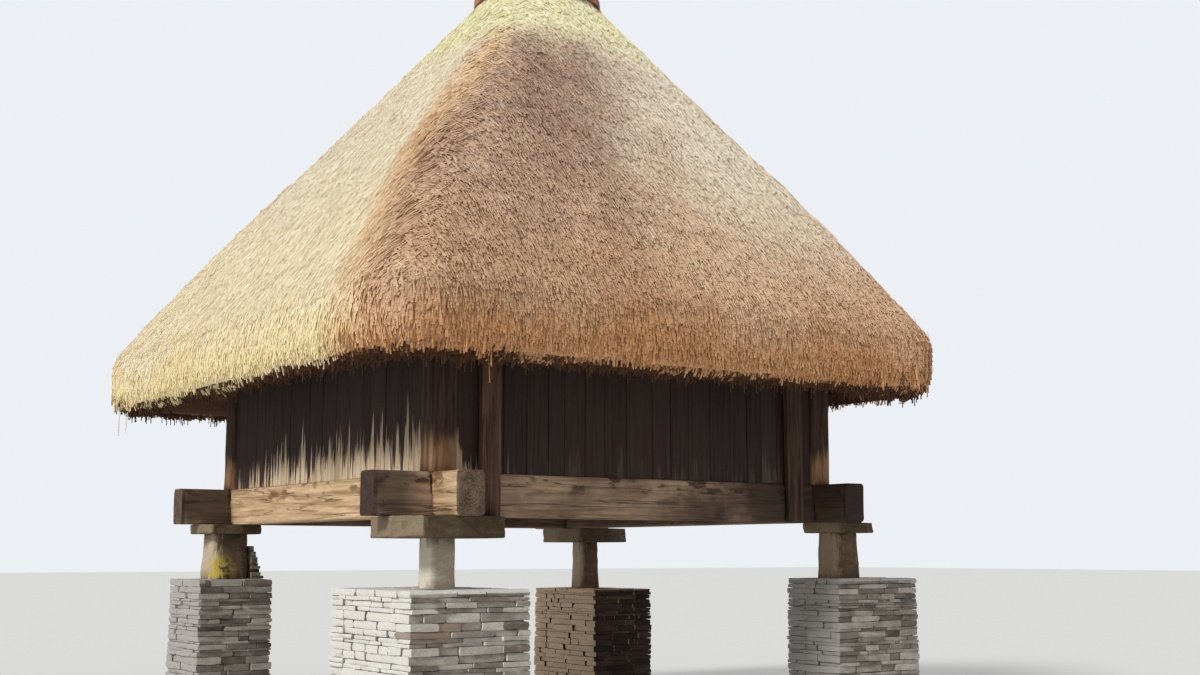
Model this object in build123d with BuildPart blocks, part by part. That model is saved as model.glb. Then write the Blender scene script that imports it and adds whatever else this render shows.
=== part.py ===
"""Raised granary: a timber store on four dry-stone piers, under a steep roof of thatch.

Sizes are in millimetres. X runs along the front, Y from front to back and Z up from the
ground. The origin is under the middle of the whole plan, and the timber body and the eaves
stand off it.
"""
import os
from collections import namedtuple
from math import asin, atan, copysign, cos, degrees, hypot, sin

from build123d import *

# Plan, measured between the centrelines of the sill beams
bay_width = 3870.0
bay_depth = 4000.0
eave_left = 1055.0
eave_right = 735.0
eave_front = 1120.0
eave_back = 1220.0

# Sill beams, halved over each other at the corners
sill_bottom = 1874.0
sill_height = 334.0
sill_width = 230.0
sill_wane = 34.0
front_stub = 520.0
back_stub = 520.0
left_stub = 600.0
right_stub = 500.0

# Floor of joists tenoned into the sills, with boards over them
joist_count = 5
joist_width = 120.0
joist_height = 140.0
tenon_length = 60.0
tenon_height = 70.0
board_thickness = 35.0

# Body: corner posts, board walls and wall plates
post_size = 220.0
post_chamfer = 14.0
wall_thickness = 45.0
wall_face = 80.0
plate_top = 3600.0
plate_height = 180.0
plate_width = 180.0
plate_stub = 60.0
plate_wane = 16.0
batten_width = 180.0
batten_thickness = 50.0
batten_inset = 370.0
batten_lap = 50.0

# Doorway in the back wall
door_width = 760.0
jamb_width = 100.0
leaf_thickness = 40.0
leaf_gap = 4.0

# Roof frame
rafter_width = 90.0
rafter_depth = 100.0
rafter_spacing = 700.0
rafter_seat = 30.0
rafter_tail = 130.0
rafter_drop = 150.0
lath_width = 55.0
lath_thickness = 30.0
lath_spacing = 520.0
hip_radius = 50.0
hip_seat = 25.0
hip_tail = 430.0
hip_rise = 130.0
hip_room = 200.0
lath_room = 120.0
frame_drop = 200.0
frame_half = 100.0
king_radius = 90.0
king_height = 260.0
king_rise = 45.0

# Thatch
eave_bottom = 3000.0
lip_height = 540.0
lip_lean = 60.0
eave_corner = 600.0
shoulder_corner = 500.0
belly_share = 0.3
belly_swell = 50.0
collar_height = 6870.0
collar_radius = 580.0
collar_roundness = 0.98
peak_shift_x = 300.0
peak_shift_y = -160.0
crown_depth = 320.0
hollow_corner = 110.0
hollow_top_corner = 60.0
hollow_run_out = 50.0

# Profile of the rolled eave, as shares of the lip's height and of its lean
lip_profile = [(0.0, 0.9), (0.1, 0.25), (0.27, 0.0), (0.6, 0.06), (0.85, 0.4), (1.0, 1.0)]

# Cap over the peak
cap_height = 330.0
cap_rim = 70.0
cap_overhang = 45.0
cap_thickness = 40.0
cap_clearance = 0.5

# Substructure, one set for each corner: width, depth and height of the pier, how far its
# centre and the post stand from the crossing of the beams, the post's foot and head, and
# the slab's width, depth and thickness
Corner = namedtuple("Corner", "pier pier_shift post_shift foot head slab slab_turn")
corners = {
    "front_left": Corner((1020, 1330, 1340), (-30, 65), (0, 0), 255, 245, (970, 920, 160), 0),
    "front_right": Corner((1010, 700, 1380), (450, 0), (280, 0), 340, 300, (600, 560, 90), 90),
    "back_left": Corner((740, 840, 1360), (-135, 10), (-110, 0), 410, 370, (680, 600, 90), 180),
    "back_right": Corner((780, 1200, 1220), (230, -150), (240, 0), 280, 250, (950, 800, 150), 270),
}
pier_taper = 0.4
pier_corner = 40.0
post_rounding = 0.3
slab_edge = 12.0
slab_rounding = 0.085

# Uneven outline of a flat slab, as shares of its half width and half depth
slab_outline = [
    (-1.0, -0.3), (-0.7, -0.95), (0.1, -1.0), (0.8, -0.85),
    (1.0, 0.1), (0.7, 0.9), (-0.2, 1.0), (-0.85, 0.75),
]

# Places that follow from the sizes above
half_width = (bay_width + eave_left + eave_right) / 2
half_depth = (bay_depth + eave_front + eave_back) / 2
right_pier = corners["front_right"]
right_reach = right_pier.pier_shift[0] + right_pier.pier[0] / 2
roof_x = min(0.0, eave_right - right_reach) / 2
peak_x = roof_x + peak_shift_x
peak_y = peak_shift_y
left_x = roof_x + eave_left - half_width
right_x = left_x + bay_width
front_y = eave_front - half_depth
back_y = front_y + bay_depth
middle_x = (left_x + right_x) / 2
middle_y = (front_y + back_y) / 2
sill_top = sill_bottom + sill_height
joist_top = sill_top - board_thickness
plate_bottom = plate_top - plate_height
body_face = sill_width / 2
plate_shift = body_face - plate_width / 2
hollow_top = collar_height - crown_depth
frame_top = hollow_top - frame_drop
rafter_head = frame_top - rafter_drop
hip_head = frame_top + hip_rise
crossings = {
    "front_left": (left_x, front_y),
    "front_right": (right_x, front_y),
    "back_left": (left_x, back_y),
    "back_right": (right_x, back_y),
}


def keep(solid, name):
    """Name one piece and write it out."""
    solid.label = name
    export_step(solid, f"parts/{name}.step")


def pier(name, corner):
    """Dry-stone pier with battered faces, from the ground to the foot of its post."""
    width, depth, height = corner.pier
    x, y = crossings[name]
    base = Plane((x + corner.pier_shift[0], y + corner.pier_shift[1], 0))
    with BuildPart() as shaft:
        with BuildSketch(base):
            RectangleRounded(width, depth, pier_corner)
        extrude(amount=height, taper=pier_taper)
    keep(shaft.part, f"{name}_pier")


def staddle_post(name, corner):
    """Tapering stone post between a pier and its slab."""
    height = corner.pier[2]
    x, y = crossings[name]
    foot = Plane((x + corner.post_shift[0], y + corner.post_shift[1], height))
    with BuildPart() as post:
        with BuildSketch(foot):
            RectangleRounded(corner.foot, corner.foot, corner.foot * post_rounding)
        with BuildSketch(foot.offset(sill_bottom - corner.slab[2] - height)):
            RectangleRounded(corner.head, corner.head, corner.head * post_rounding)
        loft()
    keep(post.part, f"{name}_staddle_post")


def staddle_slab(name, corner):
    """Flat slab between post and sill, which keeps rats out."""
    width, depth, thickness = corner.slab
    x, y = crossings[name]
    seat = (x + corner.post_shift[0], y + corner.post_shift[1], sill_bottom - thickness)
    with BuildPart() as slab:
        with BuildSketch(Plane(seat).rotated((0, 0, corner.slab_turn))) as outline:
            Polygon(*[(a * width / 2, b * depth / 2) for a, b in slab_outline], align=None)
            fillet(outline.vertices(), width * slab_rounding)
        extrude(amount=thickness)
        chamfer(slab.faces().filter_by(Axis.Z).edges(), slab_edge)
    keep(slab.part, f"{name}_staddle_slab")


def beam_section(along, line, start, level):
    """Plane across a beam at its start, with the section's height along Z."""
    if along == "x":
        return Plane((start, line, level), x_dir=(0, 1, 0), z_dir=(1, 0, 0))
    return Plane((line, start, level), x_dir=(-1, 0, 0), z_dir=(0, 1, 0))


def halved_beam(along, line, ends, laps, bottom, size, wane, lap_on_top):
    """Squared beam with its arrises hewn off, halved where it crosses two others.

    The laps take away the beam's upper or lower half, over the full width of the other beam.
    """
    width, height = size
    start, end = ends
    lap_level = bottom + height / 2 + (height if lap_on_top else -height) / 4
    with BuildPart() as beam:
        with BuildSketch(beam_section(along, line, start, bottom + height / 2)):
            RectangleRounded(width, height, wane)
        extrude(amount=end - start)
        for lap in laps:
            with Locations((lap, line, lap_level) if along == "x" else (line, lap, lap_level)):
                Box(width, width, height / 2, mode=Mode.SUBTRACT)
    return beam.part


def joist_places():
    """Centres of the joists between the left and right sills."""
    clear = right_x - left_x - sill_width
    return [left_x + body_face + clear * (i + 0.5) / joist_count for i in range(joist_count)]


def sills():
    """Four sill beams; the front and back ones are mortised for the joists."""
    size = (sill_width, sill_height)
    across = (left_x - left_stub, right_x + right_stub)
    along = (front_y - front_stub, back_y + back_stub)
    for name, line, inward in (("front", front_y, 1), ("back", back_y, -1)):
        plain = halved_beam("x", line, across, (left_x, right_x), sill_bottom, size, sill_wane, True)
        with BuildPart() as sill:
            add(plain)
            depth = line + inward * (body_face - tenon_length / 2)
            with Locations(*[(x, depth, joist_top - joist_height / 2) for x in joist_places()]):
                Box(joist_width, tenon_length, tenon_height, mode=Mode.SUBTRACT)
        keep(sill.part, f"{name}_sill")
    for name, line in (("left", left_x), ("right", right_x)):
        sill = halved_beam("y", line, along, (front_y, back_y), sill_bottom, size, sill_wane, False)
        keep(sill, f"{name}_sill")


def floor():
    """Joists with stub tenons at both ends, and the boards they carry."""
    clear = bay_depth - sill_width
    with BuildPart() as joists:
        with Locations(*[(x, middle_y, joist_top - joist_height / 2) for x in joist_places()]):
            Box(joist_width, clear, joist_height)
            Box(joist_width, clear + 2 * tenon_length, tenon_height)
    keep(joists.part, "floor_joists")
    with BuildPart() as boards:
        with BuildSketch(Plane((middle_x, middle_y, joist_top))):
            Rectangle(bay_width - sill_width, bay_depth - sill_width)
        extrude(amount=board_thickness)
    keep(boards.part, "floor_boards")


def corner_posts():
    """Posts that stand on the crossings of the sills and carry the plates."""
    for name, (x, y) in crossings.items():
        with BuildPart() as post:
            with BuildSketch(Plane((x, y, sill_top))) as section:
                Rectangle(post_size, post_size)
                chamfer(section.vertices(), post_chamfer)
            extrude(amount=plate_bottom - sill_top)
        keep(post.part, f"{name}_corner_post")


def wall(name, x_range, y_range):
    """Board wall between sill and plate, filling the given range of X and Y."""
    centre = (sum(x_range) / 2, sum(y_range) / 2, sill_top)
    with BuildPart() as boards:
        with BuildSketch(Plane(centre)):
            Rectangle(x_range[1] - x_range[0], y_range[1] - y_range[0])
        extrude(amount=plate_bottom - sill_top)
    keep(boards.part, name)


def walls():
    """Four walls between the corner posts; the back one is parted by the doorway."""
    inset = post_size / 2
    inner = wall_face - wall_thickness
    across = (left_x + inset, right_x - inset)
    along = (front_y + inset, back_y - inset)
    wall("front_wall", across, (front_y - wall_face, front_y - inner))
    wall("left_wall", (left_x - wall_face, left_x - inner), along)
    wall("right_wall", (right_x + inner, right_x + wall_face), along)
    doorway = door_width / 2 + jamb_width
    wall("back_wall_left", (across[0], middle_x - doorway), (back_y + inner, back_y + wall_face))
    wall("back_wall_right", (middle_x + doorway, across[1]), (back_y + inner, back_y + wall_face))


def doorway():
    """Two jambs from sill to plate, with a plank leaf between them."""
    height = plate_bottom - sill_top
    with BuildPart() as jambs:
        with BuildSketch(Plane((middle_x, back_y + wall_face - jamb_width / 2, sill_top))):
            with GridLocations(door_width + jamb_width, 0, 2, 1):
                Rectangle(jamb_width, jamb_width)
        extrude(amount=height)
    keep(jambs.part, "door_jambs")
    with BuildPart() as leaf:
        with BuildSketch(Plane((middle_x, back_y + wall_face - wall_thickness / 2, sill_top))):
            Rectangle(door_width - 2 * leaf_gap, leaf_thickness)
        extrude(amount=height - leaf_gap)
    keep(leaf.part, "door_leaf")


def plates():
    """Wall plates flush with the sills' outer faces, halved like them."""
    size = (plate_width, plate_height)
    reach = body_face + plate_stub
    across = (left_x - reach, right_x + reach)
    along = (front_y - reach, back_y + reach)
    laps_x = (left_x - plate_shift, right_x + plate_shift)
    laps_y = (front_y - plate_shift, back_y + plate_shift)
    for name, line in (("front", laps_y[0]), ("back", laps_y[1])):
        beam = halved_beam("x", line, across, laps_x, plate_bottom, size, plate_wane, True)
        keep(beam, f"{name}_plate")
    for name, line in (("left", laps_x[0]), ("right", laps_x[1])):
        beam = halved_beam("y", line, along, laps_y, plate_bottom, size, plate_wane, False)
        keep(beam, f"{name}_plate")


def battens():
    """Upright battens on the front, which tie the sill to the plate outside the boards."""
    line = front_y - body_face - batten_thickness / 2
    for name, x in (("left", left_x + batten_inset), ("right", right_x - batten_inset)):
        with BuildPart() as batten:
            with BuildSketch(Plane((x, line, sill_bottom))):
                Rectangle(batten_width, batten_thickness)
            extrude(amount=plate_bottom + batten_lap - sill_bottom)
        keep(batten.part, f"front_batten_{name}")


class Slope:
    """One side of the roof: the planes under the rafters and under the thatch.

    Distances are measured outwards from the origin. The rafters' undersides run from a
    notch over the wall plate to the head of the frame.
    """

    def __init__(self, along, wall_distance, peak_distance, middle):
        self.along = Vector(*along)
        self.inward = Vector(0, 0, 1).cross(self.along)
        self.wall = wall_distance
        self.middle = middle
        rise = frame_top - (plate_top - rafter_seat)
        run = wall_distance - peak_distance - frame_half
        self.pitch = atan(rise / run)
        self.up = self.inward * cos(self.pitch) + Vector(0, 0, 1) * sin(self.pitch)
        self.normal = self.along.cross(self.up)

    def edge(self, height, depth=0.0):
        """Distance of the thatch's underside, or a plane depth below it, at one height."""
        below = rafter_depth + lath_thickness - depth
        rise = height - (plate_top - rafter_seat) - below / cos(self.pitch)
        return self.wall - rise * cos(self.pitch) / sin(self.pitch)

    def plane(self, height, depth):
        """Plane with X along the eave and Y up the slope, depth below the thatch."""
        distance = self.edge(height, depth)
        origin = self.along * self.middle - self.inward * distance + Vector(0, 0, height)
        return Plane(origin=origin, x_dir=self.along, z_dir=self.normal)


slopes = {
    "front": Slope((1, 0), -front_y + body_face, -peak_y, middle_x),
    "right": Slope((0, 1), right_x + body_face, peak_x, middle_y),
    "back": Slope((-1, 0), back_y + body_face, peak_y, -middle_x),
    "left": Slope((0, -1), -left_x + body_face, -peak_x, -middle_y),
}


def hollow_bounds(height):
    """Sides of the space under the thatch at one height: left, right, front and back."""
    left = -slopes["left"].edge(height)
    right = slopes["right"].edge(height)
    front = -slopes["front"].edge(height)
    back = slopes["back"].edge(height)
    return left, right, front, back


def hollow_rounding(height):
    """Radius of the hollow's rounded hips at one height."""
    share = (height - eave_bottom) / (hollow_top - eave_bottom)
    return hollow_corner + (hollow_top_corner - hollow_corner) * share


def flat_range(side, height, room):
    """Stretch of one slope between its hips less some room, counted along the eave."""
    left, right, front, back = hollow_bounds(height)
    low, high = {
        "front": (left, right),
        "right": (front, back),
        "back": (-right, -left),
        "left": (-back, -front),
    }[side]
    return low + room, high - room


def highest_fit(side, place, width):
    """Greatest height at which a rafter of this width still lies between the hips."""
    low = eave_bottom + rafter_tail
    flats = [flat_range(side, height, hip_room) for height in (low, frame_top)]
    heights = [rafter_head]
    for end in (0, 1):
        sign = 1 if end == 0 else -1
        room = [sign * (place - flat[end]) - width / 2 for flat in flats]
        if room[1] < 0:
            heights.append(low + (frame_top - low) * room[0] / (room[0] - room[1]))
    return min(heights)


def rafter_places(length):
    """Offsets of the common rafters from the middle of their plate."""
    count = int((length / 2 - post_size) / rafter_spacing)
    return [i * rafter_spacing for i in range(-count, count + 1)]


def rafter_frame(side, length, plate):
    """Common rafters notched over one plate, with the laths that carry the thatch."""
    slope = slopes[side]
    tail = eave_bottom + rafter_tail
    sheet = slope.plane(tail, lath_thickness)
    with BuildPart() as frame:
        for place in rafter_places(length):
            head = highest_fit(side, slope.middle + place, rafter_width)
            run = (head - tail) / sin(slope.pitch)
            with BuildSketch(sheet):
                with Locations((place, run / 2)):
                    Rectangle(rafter_width, run)
            extrude(amount=-rafter_depth)
        step = lath_spacing * sin(slope.pitch)
        for i in range(int((rafter_head - tail) / step) + 1):
            height = tail + lath_width * sin(slope.pitch) / 2 + i * step
            low, high = flat_range(side, height + lath_width, lath_room)
            with BuildSketch(slope.plane(height, lath_thickness)):
                with Locations(((low + high) / 2 - slope.middle, 0)):
                    Rectangle(high - low, lath_width)
            extrude(amount=lath_thickness)
        add(plate, mode=Mode.SUBTRACT)
    keep(frame.part, f"{side}_rafters")


def plate_blocks():
    """Plain boxes over the wall plates, for the notches of rafters and hips."""
    reach = body_face + plate_stub
    level = plate_top - plate_height / 2
    across = bay_width + 2 * reach
    along = bay_depth + 2 * reach
    blocks = {}
    for side, line in (("front", front_y - plate_shift), ("back", back_y + plate_shift)):
        with BuildPart() as block:
            with Locations((middle_x, line, level)):
                Box(across, plate_width, plate_height)
        blocks[side] = block.part
    for side, line in (("left", left_x - plate_shift), ("right", right_x + plate_shift)):
        with BuildPart() as block:
            with Locations((line, middle_y, level)):
                Box(plate_width, along, plate_height)
        blocks[side] = block.part
    return blocks


def hips(blocks):
    """Round hip poles from the eaves' corners to the king block."""
    head = Vector(peak_x, peak_y, hip_head)
    for name, (x, y) in crossings.items():
        corner = (x + copysign(body_face, x - middle_x), y + copysign(body_face, y - middle_y))
        run = hypot(peak_x - corner[0], peak_y - corner[1])
        pitch = atan((hip_head - plate_top + hip_seat) / run)
        seat = Vector(*corner, plate_top - hip_seat + hip_radius / cos(pitch))
        foot = seat - (head - seat).normalized() * hip_tail
        with BuildPart() as pole:
            with BuildSketch(Plane(origin=foot, z_dir=head - foot)):
                Circle(hip_radius)
            extrude(amount=(head - foot).length)
            for block in blocks.values():
                add(block, mode=Mode.SUBTRACT)
            with Locations(head):
                Cylinder(king_radius, 2 * king_height, mode=Mode.SUBTRACT)
        keep(pole.part, f"{name}_hip")


def king_block():
    """Block at the peak that the hip poles lean on."""
    with BuildPart() as block:
        with Locations((peak_x, peak_y, hip_head + king_rise - king_height / 2)):
            Cylinder(king_radius, king_height)
    keep(block.part, "king_block")


def asin_degrees(value):
    """Angle in degrees whose sine is this value."""
    return degrees(asin(value))


def peak_dome(shrink):
    """Low dome over the peak, standing on the top of the thatch."""
    base = Plane((peak_x, peak_y, collar_height), x_dir=(1, 0, 0), z_dir=(0, -1, 0))
    width = collar_radius + cap_overhang - shrink
    height = cap_height - shrink
    with BuildPart() as dome:
        with BuildSketch(base):
            with BuildLine():
                crown = (width ** 2 - (height - cap_rim) ** 2) / (2 * (height - cap_rim))
                radius = crown + height - cap_rim
                CenterArc((0, cap_rim - crown), radius, 90, -asin_degrees(width / radius))
                Polyline((width, cap_rim), (width, 0), (0, 0), (0, height))
            make_face()
        revolve(axis=Axis((peak_x, peak_y, 0), (0, 0, 1)))
    return dome.part


def thatch_shell():
    """The whole coat of thatch: rounded hips, a thick rolled eave and a hollow within."""
    shoulder = (half_width - lip_lean, half_depth - lip_lean, shoulder_corner)
    belly = [
        side + (collar_radius - side) * belly_share + belly_swell for side in shoulder[:2]
    ]
    belly_corner = shoulder_corner + (collar_radius - shoulder_corner) * belly_share
    shoulder_height = eave_bottom + lip_height
    belly_height = shoulder_height + (collar_height - shoulder_height) * belly_share
    with BuildPart() as coat:
        for share, lean in lip_profile:
            inset = lean * lip_lean
            radius = eave_corner + (shoulder_corner - eave_corner) * share
            with BuildSketch(Plane((roof_x, 0, eave_bottom + share * lip_height))):
                RectangleRounded(2 * (half_width - inset), 2 * (half_depth - inset), radius)
        middle = (roof_x + peak_shift_x * belly_share, peak_y * belly_share, belly_height)
        with BuildSketch(Plane(middle)):
            RectangleRounded(2 * belly[0], 2 * belly[1], belly_corner)
        with BuildSketch(Plane((peak_x, peak_y, collar_height))):
            RectangleRounded(2 * collar_radius, 2 * collar_radius, collar_radius * collar_roundness)
        loft(ruled=True)
        for height in (eave_bottom - hollow_run_out, hollow_top):
            left, right, front, back = hollow_bounds(height)
            with BuildSketch(Plane(((left + right) / 2, (front + back) / 2, height))):
                RectangleRounded(right - left, back - front, hollow_rounding(height))
        loft(ruled=True, mode=Mode.SUBTRACT)
    return coat.part


def thatch():
    """The coat parted along its hips into four slopes, with a crown over the hollow."""
    coat = thatch_shell()
    # Corners well outside the eaves: twice as far from the peak as the roof's own corners
    far = {
        name: (
            2 * (roof_x + (-half_width if "left" in name else half_width)) - peak_x,
            2 * (-half_depth if "front" in name else half_depth) - peak_y,
        )
        for name in crossings
    }
    wedges = {
        "front": ("front_left", "front_right"),
        "right": ("front_right", "back_right"),
        "back": ("back_right", "back_left"),
        "left": ("back_left", "front_left"),
    }
    for side, (first, second) in wedges.items():
        with BuildPart() as slope:
            add(coat)
            with BuildSketch(Plane.XY.offset(eave_bottom)):
                Polygon((peak_x, peak_y), far[first], far[second], align=None)
            extrude(amount=hollow_top - eave_bottom, mode=Mode.INTERSECT)
        keep(slope.part, f"{side}_thatch")
    dome = peak_dome(cap_thickness + cap_clearance)
    with BuildPart() as crown:
        add(coat)
        split(bisect_by=Plane.XY.offset(hollow_top), keep=Keep.TOP)
        add(dome)
    keep(crown.part, "thatch_crown")


def cap():
    """Clay cap, a shell that stands on the rim of the thatch."""
    outside = peak_dome(0)
    inside = peak_dome(cap_thickness)
    with BuildPart() as shell:
        add(outside)
        add(inside, mode=Mode.SUBTRACT)
    keep(shell.part, "peak_cap")


os.makedirs("parts", exist_ok=True)
for corner_name, sizes in corners.items():
    pier(corner_name, sizes)
    staddle_post(corner_name, sizes)
    staddle_slab(corner_name, sizes)
sills()
floor()
corner_posts()
walls()
doorway()
plates()
battens()
plate_boxes = plate_blocks()
for side_name in slopes:
    span = bay_width if side_name in ("front", "back") else bay_depth
    rafter_frame(side_name, span, plate_boxes[side_name])
hips(plate_boxes)
king_block()
thatch()
cap()
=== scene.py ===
"""Looks of the raised granary: straw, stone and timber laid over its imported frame.

Sizes are in metres and follow the frame: X along the front, Y to the back and Z up.
"""
import math
import random

import bmesh
import bpy
from mathutils import Matrix, Vector, noise
from mathutils.bvhtree import BVHTree


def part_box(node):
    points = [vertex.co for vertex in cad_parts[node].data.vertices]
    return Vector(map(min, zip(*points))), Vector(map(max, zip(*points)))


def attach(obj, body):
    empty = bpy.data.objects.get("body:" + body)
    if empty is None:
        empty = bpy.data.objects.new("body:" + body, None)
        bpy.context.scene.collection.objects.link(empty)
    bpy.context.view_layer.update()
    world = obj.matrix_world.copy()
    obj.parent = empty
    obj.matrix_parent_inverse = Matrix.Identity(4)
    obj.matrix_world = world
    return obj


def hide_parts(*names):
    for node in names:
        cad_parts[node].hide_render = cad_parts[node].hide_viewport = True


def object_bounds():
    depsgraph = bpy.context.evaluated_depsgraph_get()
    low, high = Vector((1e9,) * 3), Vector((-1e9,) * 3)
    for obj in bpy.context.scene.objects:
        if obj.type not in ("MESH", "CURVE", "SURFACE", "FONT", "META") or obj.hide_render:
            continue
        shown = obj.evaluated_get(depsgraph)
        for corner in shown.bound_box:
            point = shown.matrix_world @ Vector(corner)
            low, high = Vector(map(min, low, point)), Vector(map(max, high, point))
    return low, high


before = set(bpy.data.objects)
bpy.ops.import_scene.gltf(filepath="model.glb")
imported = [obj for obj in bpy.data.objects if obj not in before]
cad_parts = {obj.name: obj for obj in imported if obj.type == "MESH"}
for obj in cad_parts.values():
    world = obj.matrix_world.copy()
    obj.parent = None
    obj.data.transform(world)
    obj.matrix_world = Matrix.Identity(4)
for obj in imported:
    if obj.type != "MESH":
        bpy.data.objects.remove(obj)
cad_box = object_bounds()

# Levels and places that the frame gives
eave_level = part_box("front_thatch")[0].z
collar_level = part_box("peak_cap")[0].z
peak = (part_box("peak_cap")[0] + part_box("peak_cap")[1]) / 2
sill_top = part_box("left_sill")[1].z
roof_low = Vector(map(min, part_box("left_thatch")[0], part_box("front_thatch")[0]))
roof_high = Vector(map(max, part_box("right_thatch")[1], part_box("back_thatch")[1]))

# Outward direction of each side
outward = {
    "front": Vector((0, -1, 0)),
    "right": Vector((1, 0, 0)),
    "back": Vector((0, 1, 0)),
    "left": Vector((-1, 0, 0)),
}
sides = list(outward)
crossings = ("front_left", "front_right", "back_left", "back_right")

# Copies of the frame's solids: where corners count as one, faces as flat and edges as sharp
same_spot = 1e-5
flat_angle = math.radians(2)
sharp_angle = math.radians(40)

# Direction of the painted sunlight on stone and timber, to the left and a little up
sunny_side = Vector((-0.95, 0.0, 0.2))

# Coat of straw: how far its outer faces turn outwards at least, the spacing of its cuts,
# and how far it stands in from the frame's surface
weather_facing = 0.15
coat_grid = 0.26
coat_slack = 0.008
coat_swell = 0.024
lip_set = 0.022
lip_rise = 0.8

# Locks of straw
lock_kinds = 12
lock_width = 0.19
lock_straws = 30
straw_radius = 0.0078
straw_thickness = (0.7, 1.3)
straw_length = (0.10, 0.19)
straw_lean = 0.07
straw_splay = 0.08
straw_stagger = 0.032
straw_scatter = 0.004

# Rows of locks up the slopes
first_row = 0.02
last_row = 0.01
row_step = 0.066
row_wave = 0.05
row_stray = 0.006
lock_step = 0.163
lock_stretch = (0.85, 1.2)
lift_least = 0.002
lift_spread = 0.008
hip_overlap = 0.75
chord_rise = 0.11
clear_of_roof = 6

# Straw that hangs under the eaves
fringe_kinds = 5
fringe_rows = 20
fringe_edge = 0.06
fringe_step = 0.05
fringe_reach = 0.36
fringe_height = 0.25
fringe_drop = 0.012
fringe_turn = 0.06
wisp_kinds = 3
wisp_share = 0.06
wisp_drop = (0.02, 0.24)
wisp_shape = Matrix.Diagonal((0.5, 2.2, 0.6, 1.0))

# Middles of the dull purple-brown patches on the front slope, and where each one fades
dull_spots = (
    (-0.5, -1.4, 5.87),
    (-0.8, -1.96, 5.15),
    (-0.9, -2.4, 4.5),
    (-1.6, -2.54, 4.4),
    (-2.1, -2.9, 3.85),
    (-1.16, -2.76, 4.04),
)
dull_reach = (0.3, 1.2)

# Heights between which the pale left side, partly sun-bleached and partly painted sunlight, grows wider
pale_rise = (3.6, 6.0)

# Stonework
course_height = (0.020, 0.066)
stone_width = (0.10, 0.42)
stone_depth = 0.24
stone_return = stone_depth * 0.8
stone_inset = 0.022
stone_joint = 0.003
stone_lean = 0.08
stone_turn = 0.02
stone_rough = 0.02

# Share that a stone loses at its middle, on its faces, at its edges and at its corners
corner_loss = (0.0, 0.0, 0.03, 0.07)

# How far a pier's core stands in behind its stones, at the foot and at the head
core_foot = Vector((0.05, 0.05, 0.0))
core_head = Vector((0.05, 0.05, 0.02))

# Rust-coloured stones in one pier, lichen on one post, and flat stones heaped on one pier
rust_spot = Vector((-2.16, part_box("front_left_pier")[0].y + 0.12, 1.04))
rust_reach = 0.11
lichen_reach = (0.05, 0.24)
packing_courses = 11
packing_rise = (0.022, 0.036)
packing_width = (0.09, 0.16)
packing_margin = 0.06

# Boards, and where the left wall's are pale, worn and painted with sunlight: across, along and up
board_width = (0.15, 0.27)
board_gap = 0.004
board_set = 0.006
board_cuts = 0.2
board_edge = 0.004
worn_and_sunlit_across = (-1.2, -1.75)
worn_and_sunlit_along = (1.9, 0.4)
worn_and_sunlit_up = (sill_top - 1.04, sill_top - 1.15)

# Wear of each kind of piece: the spacing of its cuts, the depth of its hollows and their width
wear_of = {
    "staddle_post": (0.1, 0.02, 0.12),
    "staddle_slab": (0.045, 0.03, 0.09),
    "sill": (0.09, 0.018, 0.3),
    "corner_post": (0.12, 0.01, 0.25),
    "batten": (0.1, 0.008, 0.25),
    "cap": (0.2, 0.014, 0.25),
}

# Lamps, each with its direction, strength and spread in degrees, then sky, floor and camera
lamps = {
    "key": (Vector((-1.0, -0.28, 0.72)), 2.05, 10),
    "fill": (Vector((0.8, 0.5, 0.9)), 0.65, 40),
}
sky_light = 0.64
sky_seen = 1.0
floor_reach = 120
camera_place = (-7.446, -12.092, 1.60)
camera_pitch = 8.19
camera_yaw = 35.12
camera_lens = 45.0
camera_sensor = 36.0


def tint(red, green, blue):
    """Linear colour of a display colour given in parts of 255."""
    def linear(part):
        share = part / 255
        return share / 12.92 if share <= 0.04045 else ((share + 0.055) / 1.055) ** 2.4

    return (linear(red), linear(green), linear(blue), 1.0)


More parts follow.
